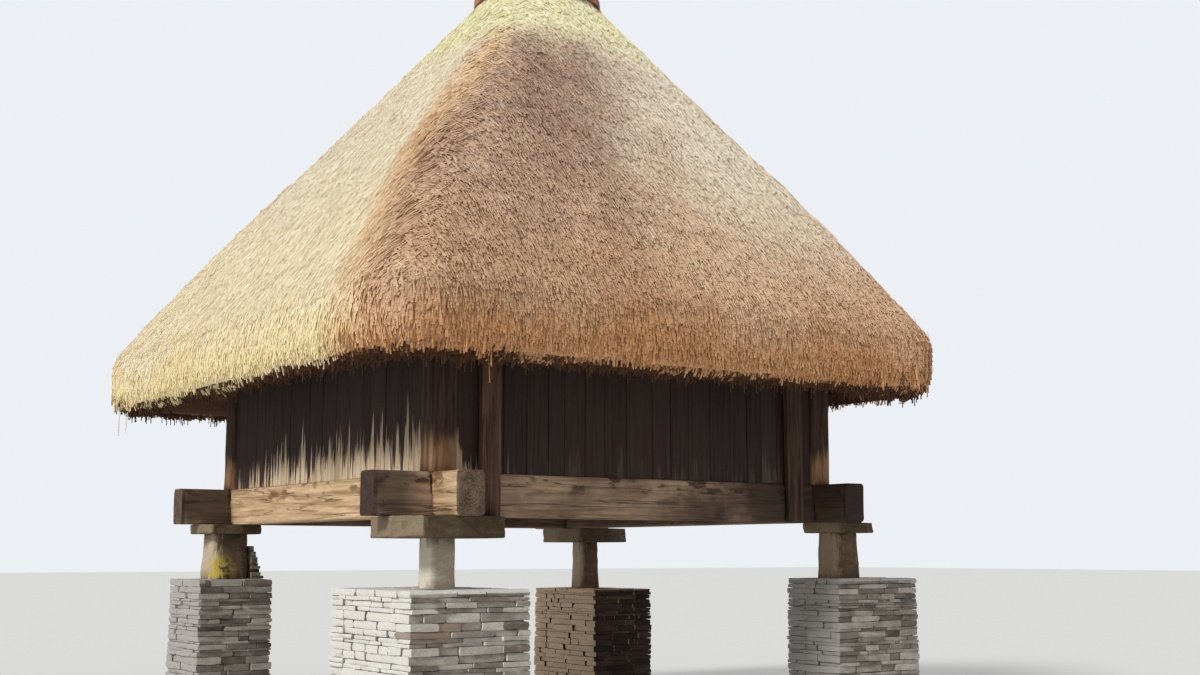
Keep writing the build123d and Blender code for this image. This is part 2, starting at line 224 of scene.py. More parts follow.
class Finish:
    """A material in the making, with short ways to add its patterns."""

    def __init__(self, name, roughness=0.9, gloss=0.2):
        self.material = bpy.data.materials.new(name)
        self.material.use_nodes = True
        self.tree = self.material.node_tree
        self.shader = self.tree.nodes["Principled BSDF"]
        self.shader.inputs["Roughness"].default_value = roughness
        self.shader.inputs["Specular IOR Level"].default_value = gloss

    def node(self, kind, **settings):
        made = self.tree.nodes.new(kind)
        for key, value in settings.items():
            setattr(made, key, value)
        return made

    def link(self, source, target):
        self.tree.links.new(source, target)

    def place(self, scale=(1, 1, 1), shift=(0, 0, 0)):
        """Object coordinates, scaled and shifted."""
        mapping = self.node("ShaderNodeMapping")
        mapping.inputs["Location"].default_value = shift
        mapping.inputs["Scale"].default_value = scale
        self.link(self.node("ShaderNodeTexCoord").outputs["Object"], mapping.inputs["Vector"])
        return mapping.outputs["Vector"]

    def mottle(self, place, scale, detail=3.0, rough=0.6, twist=0.0):
        """Cloudy pattern from 0 to 1, finer where the scale is larger."""
        made = self.node("ShaderNodeTexNoise")
        made.inputs["Scale"].default_value = scale
        made.inputs["Detail"].default_value = detail
        made.inputs["Roughness"].default_value = rough
        made.inputs["Distortion"].default_value = twist
        self.link(place, made.inputs["Vector"])
        return made.outputs["Fac"]

    def ramp(self, factor, stops):
        """Colours along a factor, given as (place, colour) pairs."""
        made = self.node("ShaderNodeValToRGB")
        band = made.color_ramp.elements
        while len(band) < len(stops):
            band.new(0.5)
        for element, (spot, colour) in zip(band, stops):
            element.position = spot
            element.color = colour
        self.link(factor, made.inputs["Fac"])
        return made.outputs["Color"]

    def fade(self, factor, start, end):
        """Share from 0 at the start to 1 at the end, smoothly."""
        made = self.node("ShaderNodeMapRange", interpolation_type="SMOOTHSTEP")
        made.inputs["From Min"].default_value = start
        made.inputs["From Max"].default_value = end
        self.link(factor, made.inputs["Value"])
        return made.outputs["Result"]

    def math(self, operation, first, second=0.5):
        """One sum; an operation on a single value takes no notice of the second."""
        made = self.node("ShaderNodeMath", operation=operation)
        for value, socket in zip((first, second), made.inputs):
            if isinstance(value, (int, float)):
                socket.default_value = value
            else:
                self.link(value, socket)
        return made.outputs["Value"]

    def times(self, first, second):
        return self.math("MULTIPLY", first, second)

    def plus(self, first, second):
        return self.math("ADD", first, second)

    def minus(self, first, second):
        return self.math("SUBTRACT", first, second)

    def larger(self, first, second):
        return self.math("MAXIMUM", first, second)

    def mix(self, factor, first, second, blend="MIX"):
        made = self.node("ShaderNodeMix", data_type="RGBA", blend_type=blend)
        sockets = (made.inputs[0], made.inputs[6], made.inputs[7])
        for value, socket in zip((factor, first, second), sockets):
            if isinstance(value, (int, float, tuple)):
                socket.default_value = value
            else:
                self.link(value, socket)
        return made.outputs[2]

    def part_of(self, place, axis):
        """One coordinate of a place."""
        split = self.node("ShaderNodeSeparateXYZ")
        self.link(place, split.inputs["Vector"])
        return split.outputs[axis]

    def distance(self, place, centre):
        made = self.node("ShaderNodeVectorMath", operation="DISTANCE")
        self.link(place, made.inputs[0])
        made.inputs[1].default_value = centre
        return made.outputs["Value"]

    def near(self, centre, inner, outer):
        """Share from 1 within the inner distance of a spot to 0 at the outer."""
        return self.fade(self.distance(self.place(), centre), outer, inner)

    def attribute(self, name):
        return self.node("ShaderNodeAttribute", attribute_name=name).outputs["Fac"]

    def bump(self, height, strength, depth=0.01):
        made = self.node("ShaderNodeBump")
        made.inputs["Strength"].default_value = strength
        made.inputs["Distance"].default_value = depth
        self.link(height, made.inputs["Height"])
        self.link(made.outputs["Normal"], self.shader.inputs["Normal"])

    def done(self, colour):
        """The material, with its colour."""
        self.link(colour, self.shader.inputs["Base Color"])
        return self.material


def straw_finish(name, with_tone):
    """Weathered straw: pale to the left, partly painted sunlight, golden at the eaves, purple-brown in
    patches, with painted shade underneath.
    """
    straw = Finish(name, roughness=0.8, gloss=0.25)
    here = straw.place()
    height = straw.part_of(here, "Z")
    broad = straw.mottle(here, 0.9, detail=4)
    fine = straw.mottle(straw.place((1, 1, 2.2)), 24, detail=4, rough=0.7)
    body = straw.ramp(broad, [
        (0.30, tint(206, 168, 140)),
        (0.45, tint(228, 195, 164)),
        (0.60, tint(238, 213, 184)),
        (0.75, tint(245, 230, 204)),
    ])

    # Across and along the roof from its peak, as shares of its reach to the left and the front
    reach = peak - roof_low
    roof = straw.place((1 / reach.x, 1 / reach.y, 1), shift=(-peak.x / reach.x, -peak.y / reach.y, 0))
    across = straw.part_of(roof, "X")
    along = straw.part_of(roof, "Y")
    ragged = straw.times(straw.minus(broad, 0.5), 0.4)
    aside = straw.larger(straw.times(along, -1), straw.times(along, 0.3))
    left = straw.minus(straw.times(across, -1), aside)
    left = straw.plus(left, straw.times(straw.fade(height, *pale_rise), 0.17))
    left = straw.fade(straw.plus(left, ragged), 0.09, 0.36)
    right = straw.fade(straw.plus(across, ragged), -0.26, 0.24)
    right = straw.times(right, straw.fade(height, eave_level + 0.2, eave_level + 2.0))

    # Dull patches on the front, pale sides, the left one partly painted sunlight, and a golden seam where
    # the left one turns the hip
    dull = straw.near(dull_spots[0], *dull_reach)
    for spot in dull_spots[1:]:
        dull = straw.larger(dull, straw.near(spot, *dull_reach))
    patch = straw.fade(straw.mottle(here, 2.6, detail=6, rough=0.7), 0.30, 0.54)
    patch = straw.times(dull, patch)
    body = straw.mix(straw.times(patch, 0.6), body, tint(174, 144, 130))
    body = straw.mix(straw.times(right, 0.66), body, tint(255, 250, 230))
    body = straw.mix(straw.times(left, 0.92), body, tint(255, 247, 224))
    seam = straw.times(left, straw.minus(1, left))
    body = straw.mix(straw.times(seam, 2.4), body, tint(252, 216, 166))

    # Gold deepens towards the eaves, most on the front; the collar is pale again
    away = straw.fade(straw.plus(across, along), 0.05, 0.40)
    # The gold is paler on the left, with the painted sunlight, and towards the right and back
    bright = straw.larger(left, away)
    low = straw.fade(height, eave_level + 2.3, eave_level + 0.6)
    low = straw.times(low, straw.minus(1, straw.times(right, 0.5)))
    gold = straw.mix(bright, tint(230, 184, 134), tint(255, 239, 200))
    body = straw.mix(straw.times(low, 0.45), body, gold)
    eaves = straw.fade(straw.plus(height, straw.times(broad, 0.7)), eave_level + 0.90, eave_level + 0.45)
    gold = straw.mix(bright, tint(216, 156, 98), tint(255, 237, 180))
    body = straw.mix(straw.times(eaves, 0.7), body, gold)
    collar = straw.fade(straw.plus(height, ragged), collar_level - 0.85, collar_level - 0.40)
    body = straw.mix(straw.times(collar, 0.92), body, tint(255, 250, 212))

    # The grain and the shades of single straws show less on the pale left, partly painted sunlight, and on
    # the collar and the right, which lightens them
    smooth = straw.larger(straw.larger(left, collar), straw.times(right, 0.7))
    grain = straw.ramp(fine, [(0.30, tint(176, 159, 146)), (0.55, tint(255, 255, 255))])
    body = straw.mix(straw.minus(0.6, straw.times(smooth, 0.42)), body, grain, blend="MULTIPLY")
    if with_tone:
        shade = straw.ramp(straw.attribute("tone"), [
            (0.0, tint(178, 158, 142)),
            (0.3, tint(236, 230, 223)),
            (0.8, tint(255, 255, 255)),
        ])
        body = straw.mix(straw.minus(0.75, straw.times(smooth, 0.42)), body, shade, blend="MULTIPLY")
    # Painted shade under the eaves, inside the thatch and on the inner hanging straw
    body = straw.mix(straw.attribute("under"), body, tint(96, 66, 44))
    straw.bump(fine, 0.5, 0.02)
    return straw.done(body)


def oak_grain(timber, along, dark, light):
    """Colour of old oak with its grain along one axis and dark checks in it."""
    stretch = [1.0, 1.0, 1.0]
    stretch[along] = 0.06
    grain = timber.mottle(timber.place(stretch), 26, detail=5, rough=0.65, twist=0.4)
    colour = timber.ramp(grain, [(0.32, dark), (0.68, light)])
    stretch[along] = 0.035
    checks = timber.mottle(timber.place(stretch), 8, detail=3, rough=0.55)
    check = timber.fade(timber.math("ABSOLUTE", timber.minus(checks, 0.5)), 0.011, 0.003)
    colour = timber.mix(timber.times(check, 0.7), colour, tint(44, 31, 25))
    timber.bump(timber.minus(grain, timber.times(check, 0.8)), 0.6, 0.008)
    return colour


def timber_finish(name, along, dark, light):
    """Plain oak with its grain along one axis."""
    timber = Finish(name, roughness=0.85, gloss=0.25)
    return timber.done(oak_grain(timber, along, dark, light))


def sill_finish(side):
    """Hewn oak with gouges under its top edge and dark cut ends; the left sill is lighter, painted
    sunlight, and the others darker, painted shade.
    """
    axis = 0 if side in ("front", "back") else 1
    low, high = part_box(f"{side}_sill")
    sill = Finish(f"hewn oak {side}", roughness=0.85, gloss=0.25)
    here = sill.place()
    height = sill.part_of(here, "Z")
    broad = sill.mottle(here, 1.7, detail=4)
    # Lighter colours on the left sill are painted sunlight; the darker ones on the other sills are painted
    # shade
    if side == "left":
        colour = oak_grain(sill, axis, tint(150, 113, 78), tint(230, 200, 158))
        worn, gouge_shade_and_rot = tint(186, 150, 112), tint(120, 82, 52)
    else:
        colour = oak_grain(sill, axis, tint(128, 100, 78), tint(196, 166, 136))
        worn, gouge_shade_and_rot = tint(100, 80, 66), tint(56, 40, 34)
    colour = sill.mix(sill.times(sill.fade(broad, 0.45, 0.65), 0.6), colour, worn)
    # Gouges under the top edge, dark with painted shade in their hollows and with rot
    stretch = [1.0, 1.0, 1.0]
    stretch[axis] = 0.35
    gouge = sill.fade(sill.mottle(sill.place(stretch), 11, detail=3), 0.53, 0.62)
    band = sill.fade(height, sill_top - 0.20, sill_top - 0.07)
    colour = sill.mix(sill.times(sill.times(gouge, band), 0.8), colour, gouge_shade_and_rot)

    place = sill.part_of(here, "XYZ"[axis])
    end = sill.larger(
        sill.fade(place, low[axis] + 0.05, low[axis] + 0.03),
        sill.fade(place, high[axis] - 0.05, high[axis] - 0.03),
    )
    cut = [1.0, 1.0, 1.0]
    cut[axis] = 0.0
    heart = [(a + b) / 2 * c for a, b, c in zip(low, high, cut)]
    crooked = sill.mottle(here, 9, detail=5, rough=0.7)
    rings = sill.plus(sill.times(sill.distance(sill.place(cut), heart), 260), sill.times(crooked, 34))
    ring = sill.fade(sill.math("SINE", rings), -1, 1)
    ring = sill.plus(sill.times(ring, 0.2), sill.times(crooked, 0.8))
    wood = sill.ramp(ring, [(0.32, tint(52, 38, 31)), (0.68, tint(112, 92, 78))])
    colour = sill.mix(sill.times(end, 0.9), colour, wood)

    # Painted shade darkens both ends of the front sill, its right part, the right sill's front end and the
    # faces that look in under the floor; the front sill's left stub is also weathered
    painted_shade = None
    ragged = sill.times(broad, 0.3)
    if side == "front":
        painted_shade = sill.fade(sill.plus(place, sill.times(broad, 1.6)), 1.1, 2.0)
        stub = sill.fade(sill.minus(place, ragged), low.x + 0.35, low.x + 0.1)
        painted_shade = sill.larger(painted_shade, sill.times(stub, 0.8))
    elif side == "right":
        painted_shade = sill.fade(sill.minus(place, ragged), low.y + 0.7, low.y + 0.2)
        painted_shade = sill.larger(painted_shade, sill.times(sill.attribute("sun"), 0.7))
    elif side == "back":
        painted_shade = sill.times(sill.attribute("front"), 0.7)
    if painted_shade:
        colour = sill.mix(sill.times(painted_shade, 0.88), colour, tint(48, 34, 29))
    return sill.done(colour)


def post_finish():
    """Dark oak posts, tan towards their feet."""
    post = Finish("post oak", roughness=0.85, gloss=0.25)
    colour = oak_grain(post, 2, tint(44, 31, 26), tint(88, 66, 54))
    streak = post.mottle(post.place((1, 1, 0.1)), 12, detail=4, rough=0.7)
    height = post.part_of(post.place(), "Z")
    reach = post.minus(height, post.times(streak, 0.5))
    foot = post.fade(reach, sill_top + 0.10, sill_top - 0.08)
    tan = post.ramp(streak, [(0.35, tint(120, 82, 54)), (0.65, tint(186, 146, 108))])
    return post.done(post.mix(post.times(foot, 0.8), colour, tan))


def board_finish():
    """Nearly black boards, partly painted shade, worn pale in tall jagged streaks above the left sill,
    partly painted sunlight.
    """
    boards = Finish("dark boards", roughness=0.85, gloss=0.25)
    tone = boards.attribute("tone")
    here = boards.place()
    grain = boards.mottle(boards.place((1, 1, 0.05)), 30, detail=5, rough=0.65)
    # Nearly black: the boards' own dark colour with painted shade
    dark = boards.ramp(grain, [(0.3, tint(32, 24, 23)), (0.7, tint(64, 50, 46))])
    dark = boards.mix(boards.times(tone, 0.45), dark, tint(76, 58, 50))

    # Pale streaks at the foot of the left wall: worn boards with painted sunlight
    streak = boards.mottle(boards.place((1, 1, 0.04)), 12, detail=5, rough=0.7)
    height = boards.part_of(here, "Z")
    side = boards.fade(boards.part_of(here, "X"), *worn_and_sunlit_across)
    place = boards.part_of(here, "Y")
    thick = boards.times(boards.fade(place, *worn_and_sunlit_along), side)
    reach = boards.minus(height, boards.times(streak, 2.1))
    reach = boards.minus(reach, boards.times(thick, 0.27))
    foot = boards.fade(reach, *worn_and_sunlit_up)
    pale = boards.ramp(grain, [(0.3, tint(156, 124, 94)), (0.7, tint(236, 216, 182))])
    share = boards.plus(boards.times(side, 0.84), 0.06)
    worn = boards.mix(boards.times(foot, share), dark, pale)
    boards.bump(grain, 0.6, 0.008)
    return boards.done(worn)


def stone_finish(name, stops, sunlit_colour, lichen=None, painted_shade=None):
    """Split stone, mottled, with painted sunlight on the faces towards the sun.

    Where a colour for painted shade is given, its front gets painted shade, and lichen grows round a given
    spot.
    """
    stone = Finish(name, roughness=0.92, gloss=0.2)
    here = stone.place()
    tone = stone.attribute("tone")
    mottled = stone.mottle(stone.place((1, 1, 2.5)), 7, detail=6, rough=0.7)
    mottled = stone.plus(stone.times(mottled, 0.64), stone.times(tone, 0.41))
    colour = stone.ramp(mottled, stops)
    # Painted sunlight on the faces towards the sunny side
    sun = stone.fade(stone.plus(stone.attribute("sun"), stone.times(mottled, 0.5)), 0.45, 1.15)
    colour = stone.mix(stone.times(sun, 0.9), colour, sunlit_colour)
    fine = stone.mottle(stone.place((1, 1, 3)), 45, detail=5, rough=0.75)
    speckle = stone.ramp(fine, [(0.3, tint(120, 115, 112)), (0.7, tint(255, 255, 255))])
    colour = stone.mix(0.4, colour, speckle, blend="MULTIPLY")
    colour = stone.mix(stone.times(stone.attribute("rust"), 0.75), colour, tint(142, 116, 94))
    # Painted shade on the front
    if painted_shade:
        colour = stone.mix(stone.times(stone.attribute("front"), 0.88), colour, painted_shade)
    if lichen:
        around = stone.near(lichen, *lichen_reach)
        specks = stone.fade(stone.mottle(here, 16), 0.40, 0.54)
        colour = stone.mix(stone.times(around, specks), colour, tint(204, 180, 84))
    stone.bump(fine, 0.7, 0.012)
    return stone.done(colour)


def clay_finish():
    """Dull reddish clay."""
    clay = Finish("fired clay", roughness=0.8, gloss=0.3)
    broad = clay.mottle(clay.place(), 6, detail=5)
    colour = clay.ramp(broad, [(0.3, tint(130, 84, 70)), (0.7, tint(176, 122, 98))])
    clay.bump(broad, 0.3, 0.01)
    return clay.done(colour)


def set_down(shape, name, finish, slot, *nodes, smooth=True):
    """Turn a shape into a piece of the object, which stands for the named nodes."""
    for face in shape.faces:
        face.smooth = smooth
    mesh = bpy.data.meshes.new(name)
    shape.to_mesh(mesh)
    shape.free()
    mesh.set_sharp_from_angle(angle=sharp_angle)
    mesh.materials.append(finish)
    piece = bpy.data.objects.new(name, mesh)
    bpy.context.collection.objects.link(piece)
    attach(piece, "root")
    if nodes:
        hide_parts(*nodes)


def lay(shape, part, place):
    """Add a copy of a small mesh to a shape, at one place."""
    copy = part.copy()
    copy.transform(place)
    shape.from_mesh(copy)
    bpy.data.meshes.remove(copy)


def as_mesh(shape, name):
    """Keep a small shape as a mesh."""
    mesh = bpy.data.meshes.new(name)
    shape.to_mesh(mesh)
    shape.free()
    return mesh


def lay_once(shape, part, place=Matrix.Identity(4)):
    """Add a small shape to a larger one, at one place."""
    mesh = as_mesh(part, "part")
    lay(shape, mesh, place)
    bpy.data.meshes.remove(mesh)


def block(low, high):
    """Plain block between two corners."""
    shape = bmesh.new()
    bmesh.ops.create_cube(shape, size=1.0)
    bmesh.ops.scale(shape, vec=high - low, verts=shape.verts)
    bmesh.ops.translate(shape, vec=(low + high) / 2, verts=shape.verts)
    return shape


def hold_in(shape, low, high):
    """Keep a shape between two corners."""
    for vert in shape.verts:
        vert.co = Vector([min(max(part, least), most) for part, least, most in zip(vert.co, low, high)])


def packed_shape(node):
    """Merged copy of one node of the frame, with fewer facets where it hardly bends."""
    shape = bmesh.new()
    shape.from_mesh(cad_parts[node].data)
    bmesh.ops.remove_doubles(shape, verts=shape.verts, dist=same_spot)
    bmesh.ops.dissolve_limit(shape, angle_limit=flat_angle, verts=shape.verts, edges=shape.edges)
    bmesh.ops.triangulate(shape, faces=shape.faces)
    return shape


def score(shape, spacing, axes="xyz"):
    """Cut a shape across at even steps, so that it can be bent and roughened."""
    low = Vector([min(vert.co[i] for vert in shape.verts) for i in range(3)])
    high = Vector([max(vert.co[i] for vert in shape.verts) for i in range(3)])
    for axis, letter in enumerate("xyz"):
        if letter not in axes:
            continue
        normal = Vector([float(i == axis) for i in range(3)])
        count = round((high[axis] - low[axis]) / spacing)
        for i in range(1, count):
            cut = low + normal * (high[axis] - low[axis]) * i / count
            bmesh.ops.bisect_plane(
                shape, geom=shape.verts[:] + shape.edges[:] + shape.faces[:],
                dist=1e-6, plane_co=cut, plane_no=normal,
            )


def wear(shape, depth, size):
    """Sink the sides of a shape unevenly, in hollows of about this size.

    Heights stay as they are, because pieces stand on one another.
    """
    shape.normal_update()
    normals = [vert.normal.copy() for vert in shape.verts]
    for vert, normal in zip(shape.verts, normals):
        share = 0.5 - 0.5 * noise.fractal(vert.co / size, 1.0, 2.0, 3)
        sink = normal * depth * max(0.0, min(1.0, share))
        sink.z = 0.0
        vert.co -= sink


def bask(shape):
    """Note on each face how far it faces the sunny side, which is left and up, and the front."""
    sun = shape.faces.layers.float.new("sun")
    front = shape.faces.layers.float.new("front")
    shape.normal_update()
    for face in shape.faces:
        face[sun] = max(0.0, face.normal.dot(sunny_side))
        face[front] = max(0.0, -face.normal.y)


def worn_copy(node, kind):
    """Copy of one node of the frame, worn as its kind of piece is."""
    spacing, depth, size = wear_of[kind]
    shape = packed_shape(node)
    score(shape, spacing)
    wear(shape, depth, size)
    bask(shape)
    return shape


# Thatch: a ruffled coat, with locks of straw laid over it in rows

def weather_side():
    """Search tree of the thatch's outer faces, as the frame has them."""
    shape = bmesh.new()
    for node in [f"{side}_thatch" for side in sides] + ["thatch_crown"]:
        shape.from_mesh(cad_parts[node].data)
    bmesh.ops.remove_doubles(shape, verts=shape.verts, dist=same_spot)
    shape.normal_update()
    inner = []
    for face in shape.faces:
        away = face.calc_center_median() - peak
        away.z = 0
        if face.normal.dot(away.normalized()) < weather_facing:
            inner.append(face)
    bmesh.ops.delete(shape, geom=inner, context="FACES")
    tree = BVHTree.FromBMesh(shape)
    shape.free()
    return tree


def ruffle(spot):
    """How far the coat stands in from the frame's surface, deepest at the eave, at one spot."""
    broad = noise.noise(spot * 1.1)
    close = noise.noise(spot * 4.3)
    lip = max(0.0, 1.0 - (spot.z - eave_level) / lip_rise)
    return coat_swell * (0.9 - broad * 0.9 - close * 0.5) + lip_set * lip


def straw_coat(node, outer, finish):
    """One part of the thatch with an uneven outer surface and painted shade on its underside."""
    shape = packed_shape(node)
    score(shape, coat_grid)
    # Vertices that are not on the outer surface get painted shade
    under = shape.verts.layers.float.new("under")
    for vert in shape.verts:
        spot, normal, _, distance = outer.find_nearest(vert.co)
        if spot and distance < coat_slack:
            vert.co -= normal * ruffle(vert.co)
        else:
            vert[under] = 1.0
    tree = BVHTree.FromBMesh(shape)
    set_down(shape, f"{node}_coat", finish, "thatch", node)
    return tree


def straw_lock(draw, straws, lean, shaded=0.0):
    """Bundle of straws side by side: butts at -Y, tips at +Y and the weather at +Z."""
    lock = bmesh.new()
    tone = lock.verts.layers.float.new("tone")
    # Straw that hangs in the shade carries painted shade
    under = lock.verts.layers.float.new("under")
    for _ in range(straws):
        length = draw.uniform(*straw_length)
        butt = draw.gauss(0, straw_stagger)
        across = draw.uniform(-0.5, 0.5) * lock_width
        turn = Matrix.Rotation(draw.gauss(0, straw_splay), 4, "Z")
        turn @= Matrix.Rotation(-math.pi / 2 - lean * draw.uniform(0.5, 1.4), 4, "X")
        spot = Matrix.Translation((across, butt + length / 2, draw.uniform(-straw_scatter, straw_scatter)))
        made = bmesh.ops.create_cone(
            lock, cap_ends=True, segments=3, radius1=straw_radius * draw.uniform(*straw_thickness),
            radius2=0.0, depth=length, matrix=spot @ turn,
        )
        shade = draw.random()
        for vert in made["verts"]:
            vert[tone] = shade
            vert[under] = shaded
    return as_mesh(lock, "lock")


def upslope(spot, rise, normal, lift):
    """Place on the thatch with Y along the rise and Z outwards."""
    across = rise.cross(normal).normalized()
    out = across.cross(rise)
    place = Matrix((across, rise, out)).transposed().to_4x4()
    place.translation = spot + out * lift
    return place


def first_hit(trees, start, heading):
    """Nearest spot and normal that a ray meets on the parts of the thatch."""
    hits = [tree.ray_cast(start, heading) for tree in trees]
    hits = [hit for hit in hits if hit[0] is not None]
    return min(hits, key=lambda hit: hit[3])[:2] if hits else (None, None)


def thatch_slope(side, trees, outer, locks, draw, finish):
    """Locks of straw in wavy rows over one slope, from the eave up to the cap."""
    facing = outward[side]
    along = Vector((0, 0, 1)).cross(facing)
    reach = max(abs(along.dot(roof_low)), abs(along.dot(roof_high))) + 0.1
    chord = Vector((0, 0, chord_rise))
    shape = bmesh.new()
    height = eave_level + first_row
    while height < collar_level - last_row:
        place = -reach + draw.uniform(0, lock_step)
        while place < reach:
            wave = row_wave * noise.noise(Vector((place * 1.3, height * 1.5, 7.0)))
            level = height + wave + draw.gauss(0, row_stray)
            start = along * place + facing * clear_of_roof + Vector((0, 0, level))
            place += lock_step * draw.uniform(0.8, 1.2)
            spot, normal = first_hit(trees, start, -facing)
            above, _ = first_hit(trees, start + chord, -facing)
            if spot:
                normal = outer.find_nearest(spot)[1]
            if not spot or normal.dot(facing) < hip_overlap * abs(normal.dot(along)):
                continue
            if not above or (above - spot).length > 4 * chord.length:
                above = spot + chord - normal * chord.dot(normal)
            rise = (above - spot).normalized()
            stretch = Matrix.Diagonal((1.0, draw.uniform(*lock_stretch), 1.0, 1.0))
            lift = lift_least + lift_spread * draw.random()
            lay(shape, draw.choice(locks), upslope(spot, rise, normal, lift) @ stretch)
        height += row_step * (0.9 + 0.2 * draw.random())
    hold_in(shape, *cad_box)
    set_down(shape, f"{side}_straw", finish, "thatch")


def eave_fringe(side, trees, outer, locks, draw, finish):
    """Straw ends that hang from the underside of one eave, the outer row in the light."""
    facing = outward[side]
    along = Vector((0, 0, 1)).cross(facing)
    up = Vector((0, 0, 1))
    reach = max(abs(along.dot(roof_low)), abs(along.dot(roof_high)))
    edge = max(facing.dot(roof_low), facing.dot(roof_high))
    shape = bmesh.new()
    for row in range(fringe_rows):
        place = -reach + draw.uniform(0, lock_step)
        while place < reach:
            inwards = row * fringe_step * draw.uniform(0.8, 1.2)
            start = along * place + facing * (edge - fringe_edge - inwards)
            start.z = eave_level - 1
            place += lock_step * draw.uniform(0.75, 1.1)
            spot, normal = first_hit(trees, start, up)
            if not spot or normal.z > -0.5 or spot.z > eave_level + fringe_height:
                continue
            rim = outer.find_nearest(spot)[3]
            if rim > fringe_reach:
                continue
            kind = "lit" if rim < fringe_step else "shaded"
            spot += up * fringe_drop * draw.uniform(-0.6, 1.6)
            if kind == "lit" and draw.random() < wisp_share:
                kind = "wisp"
                spot -= up * draw.uniform(*wisp_drop)
            turn = Matrix.Rotation(draw.gauss(0, fringe_turn), 4, "Z")
            lay(shape, draw.choice(locks[kind]), upslope(spot, up, facing, 0) @ turn)
    hold_in(shape, *cad_box)
    set_down(shape, f"{side}_eave_straw", finish, "thatch")


def thatch():
    """Coats, locks and hanging straw of the whole roof."""
    draw = random.Random(11)
    coat = straw_finish("straw coat", False)
    loose = straw_finish("loose straw", True)
    outer = weather_side()
    trees = [straw_coat(f"{side}_thatch", outer, coat) for side in sides]
    trees.append(straw_coat("thatch_crown", outer, coat))
    locks = [straw_lock(draw, lock_straws, straw_lean) for _ in range(lock_kinds)]
    hanging = {
        "lit": [straw_lock(draw, lock_straws // 2, 0.0) for _ in range(fringe_kinds)],
        "shaded": [straw_lock(draw, lock_straws // 2, 0.0, 1.0) for _ in range(fringe_kinds)],
        "wisp": [straw_lock(draw, 2, 0.0) for _ in range(wisp_kinds)],
    }
    for wisp in hanging["wisp"]:
        wisp.transform(wisp_shape)
    for side in sides:
        thatch_slope(side, trees, outer, locks, draw, loose)
        eave_fringe(side, trees, outer, hanging, draw, loose)
    for lock in sum(hanging.values(), locks):
        bpy.data.meshes.remove(lock)


# Dry-stone piers

def one_stone(draw, size, rusty):
    """Split stone of about this size, with uneven faces and broken corners."""
    stone = bmesh.new()
    tone = stone.verts.layers.float.new("tone")
    rust = stone.verts.layers.float.new("rust")
    bmesh.ops.create_cube(stone, size=1.0)
    bmesh.ops.subdivide_edges(stone, edges=stone.edges[:], cuts=1, use_grid_fill=True)
    lean = [draw.uniform(-stone_lean, stone_lean) for _ in range(3)]
    for vert in stone.verts:
        spot = vert.co.copy()
        corner = sum(abs(part) > 0.49 for part in spot)
        shrink = 1 - corner_loss[corner] * draw.uniform(0.3, 1.2)
        vert.co = Vector([
            part * shrink * length + draw.gauss(0, stone_rough) * min(length, 0.08)
            for part, length in zip(spot, size)
        ])
        vert.co.z += (spot.x * lean[0] + spot.y * lean[1]) * size.z
    shade = draw.random()
    for vert in stone.verts:
        vert[tone] = shade
        vert[rust] = float(rusty)
    return stone


def lay_stone(shape, draw, low, high):
    """Stone that fills the space between two corners."""
    rusty = ((low + high) / 2 - rust_spot).length < rust_reach
    stone = one_stone(draw, high - low, rusty)
    turn = Matrix.Rotation(draw.gauss(0, stone_turn), 4, "Z")
    lay_once(shape, stone, Matrix.Translation((low + high) / 2) @ turn)


def course(shape, draw, low, high, across_first):
    """One course of a pier: stones along two faces, and shorter ones between them."""
    for axis in (0, 1):
        other = 1 - axis
        first = (axis == 0) == across_first
        start = low[axis] + (0.0 if first else stone_return)
        stop = high[axis] - (0.0 if first else stone_return)
        depth = min(stone_depth, (high[other] - low[other]) / 2 - stone_joint)
        for face in (0, 1):
            place = start
            while place < stop - 0.01:
                width = min(draw.uniform(*stone_width), stop - place)
                if stop - place - width < stone_width[0]:
                    width = stop - place
                corner_low, corner_high = low.copy(), high.copy()
                corner_low[axis] = place + stone_joint / 2
                corner_high[axis] = place + width - stone_joint / 2
                inset = draw.uniform(0.0, stone_inset)
                if face == 0:
                    corner_low[other] = low[other] + inset
                    corner_high[other] = low[other] + depth
                else:
                    corner_low[other] = high[other] - depth
                    corner_high[other] = high[other] - inset
                lay_stone(shape, draw, corner_low, corner_high)
                place += width


def pier(name, draw, finish):
    """Dry-stone pier laid in thin courses round a core, with painted sunlight on top."""
    low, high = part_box(f"{name}_pier")
    shape = bmesh.new()
    lay_once(shape, block(low + core_foot, high - core_head))
    level = low.z
    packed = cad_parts[f"{name}_pier"].data
    top = max(vert.co.x for vert in packed.vertices if vert.co.z > high.z - 0.01)
    taper = (high.x - top) / (high.z - low.z)
    across_first = True
    while level < high.z - 0.001:
        rise = draw.uniform(*course_height)
        if high.z - level - rise < course_height[0] * 1.5:
            rise = high.z - level
        inset = taper * (level - low.z)
        step = Vector((inset, inset, 0))
        course_low = Vector((low.x, low.y, level)) + step
        course_high = Vector((high.x, high.y, level + rise - stone_joint / 2)) - step
        course(shape, draw, course_low, course_high, across_first)
        across_first = not across_first
        level += rise
    hold_in(shape, low, high)
    bask(shape)
    # Painted sunlight on the top course
    sun = shape.faces.layers.float["sun"]
    for face in shape.faces:
        if face.calc_center_median().z > high.z - 0.02:
            face[sun] = 0.9
    set_down(shape, f"{name}_stonework", finish, "dry_stone", f"{name}_pier", smooth=False)


